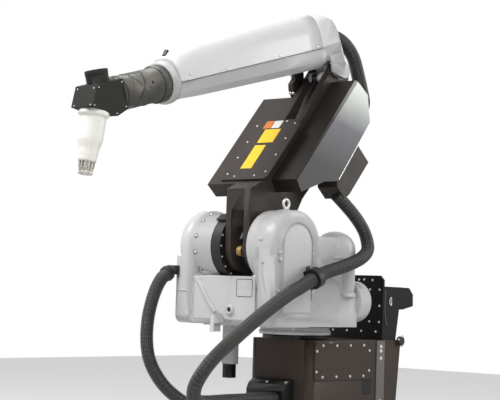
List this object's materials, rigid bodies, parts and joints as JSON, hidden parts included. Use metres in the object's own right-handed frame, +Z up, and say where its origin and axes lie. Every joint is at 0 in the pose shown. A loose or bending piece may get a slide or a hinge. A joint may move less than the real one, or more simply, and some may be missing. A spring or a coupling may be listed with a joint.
{
  "type": "painting robot arm",
  "caption": "Six-axis painting robot arm with a hollow wrist, bell atomizer and valve boxes, standing on a closed pedestal.",
  "frame": {"origin": "on the floor, on the vertical slewing axis", "axes": "+X forwards along the arm's reach, +Z up, +Y towards the ear with the round-topped cover"},
  "size_m": [2.5723, 0.935, 2.5308],
  "materials": {
    "casting": "semi-gloss light grey paint",
    "hood_skin": "semi-gloss light grey",
    "beam_paint": "semi-gloss mid grey paint",
    "black_steel": "satin black paint",
    "box_steel": "satin dark paint",
    "zinc": "bright",
    "brass": "dull",
    "wrist_skin": "satin",
    "head_plastic": "satin",
    "gun_plastic": "satin off-white",
    "bell_metal": "bright",
    "conduit": "ribbed black"
  },
  "bodies": {
    "base": {"floor_plate": "black_steel", "pedestal": "black_steel", "pedestal_tail": "black_steel", "access_cover": "black_steel", "slewing_ring": "black_steel", "back_plate": "black_steel", "side_cheek_left": "black_steel", "side_cheek_right": "black_steel", "rear_bracket": "black_steel", "hose_hood": "black_steel"},
    "shoulder": {"turntable": "casting", "shoulder_web": "casting", "left_ear": "casting", "right_ear": "casting", "gear_case": "black_steel", "shoulder_shaft": "zinc", "upper_motor": "casting", "lower_motor": "casting", "lifting_eye": "zinc", "hose_saddle": "black_steel", "stop_block": "beam_paint", "left_hose_elbow": "black_steel", "conduit_lower": "conduit", "conduit_left": "conduit"},
    "lower_arm": {"arm_cheek_left": "box_steel", "arm_cheek_right": "box_steel", "left_valve_box": "box_steel", "valve_cover": "box_steel", "right_valve_box": "box_steel", "rear_valve_box": "box_steel", "elbow_pin": "zinc", "conduit_upper": "conduit"},
    "crank_arm": {"crank": "zinc"},
    "rod": {"control_rod": "brass"},
    "upper_arm": {"arm_beam": "beam_paint", "elbow_bracket": "black_steel", "arm_hood": "hood_skin", "rear_end_cap": "hood_skin", "wrist_ring": "beam_paint", "elbow_hose": "conduit"},
    "wrist_roll": {"wrist_sleeve": "wrist_skin"},
    "wrist_bend": {"wrist_middle": "wrist_skin"},
    "head": {"gun_head": "head_plastic", "atomizer": "gun_plastic"},
    "bell": {"bell_cup": "bell_metal"}
  },
  "joints": [
    {"name": "axis_1", "type": "hinge", "parent": "base", "child": "shoulder", "pos_m": [0, 0, 0.662], "axis": [0, 0, 1], "range_deg": [-90, 90], "deforming": ["conduit_lower", "conduit_left"]},
    {"name": "axis_2", "type": "hinge", "parent": "shoulder", "child": "lower_arm", "pos_m": [0.4, 0, 1.15], "axis": [0, 1, 0], "range_deg": [-10, 80], "deforming": ["conduit_upper"]},
    {"name": "axis_3", "type": "hinge", "parent": "lower_arm", "child": "upper_arm", "pos_m": [-0.21543, 0, 2.19064], "axis": [0, -1, 0], "range_deg": [-25, 60], "deforming": ["elbow_hose"]},
    {"name": "crank_turn", "type": "hinge", "parent": "lower_arm", "child": "crank_arm", "pos_m": [0.4, 0, 1.15], "axis": [0, -1, 0], "range_deg": [-26, 61]},
    {"name": "rod_swing", "type": "hinge", "parent": "crank_arm", "child": "rod", "pos_m": [0.50659, 0, 1.12283], "axis": [0, -1, 0], "range_deg": [-61, 26]},
    {"name": "axis_4", "type": "hinge", "parent": "upper_arm", "child": "wrist_roll", "pos_m": [1.17423, 0, 1.98327], "axis": [0.9598, 0, -0.2807], "range_deg": [-180, 180]},
    {"name": "axis_5", "type": "hinge", "parent": "wrist_roll", "child": "wrist_bend", "pos_m": [1.37626, 0, 1.92419], "axis": [0.9627, 0, 0.2706], "range_deg": [-180, 180]},
    {"name": "axis_6", "type": "hinge", "parent": "wrist_bend", "child": "head", "pos_m": [1.49336, 0, 1.88995], "axis": [0.9598, 0, -0.2807], "range_deg": [-180, 180]},
    {"name": "bell_spin", "type": "hinge", "parent": "head", "child": "bell", "pos_m": [1.634, 0, 1.77589], "axis": [0.1409, 0, -0.99], "continuous": true}
  ],
  "couplings": [
    {"joint": "crank_turn", "follows": "axis_3", "ratio": 1},
    {"joint": "rod_swing", "follows": "axis_3", "ratio": -1}
  ]
}
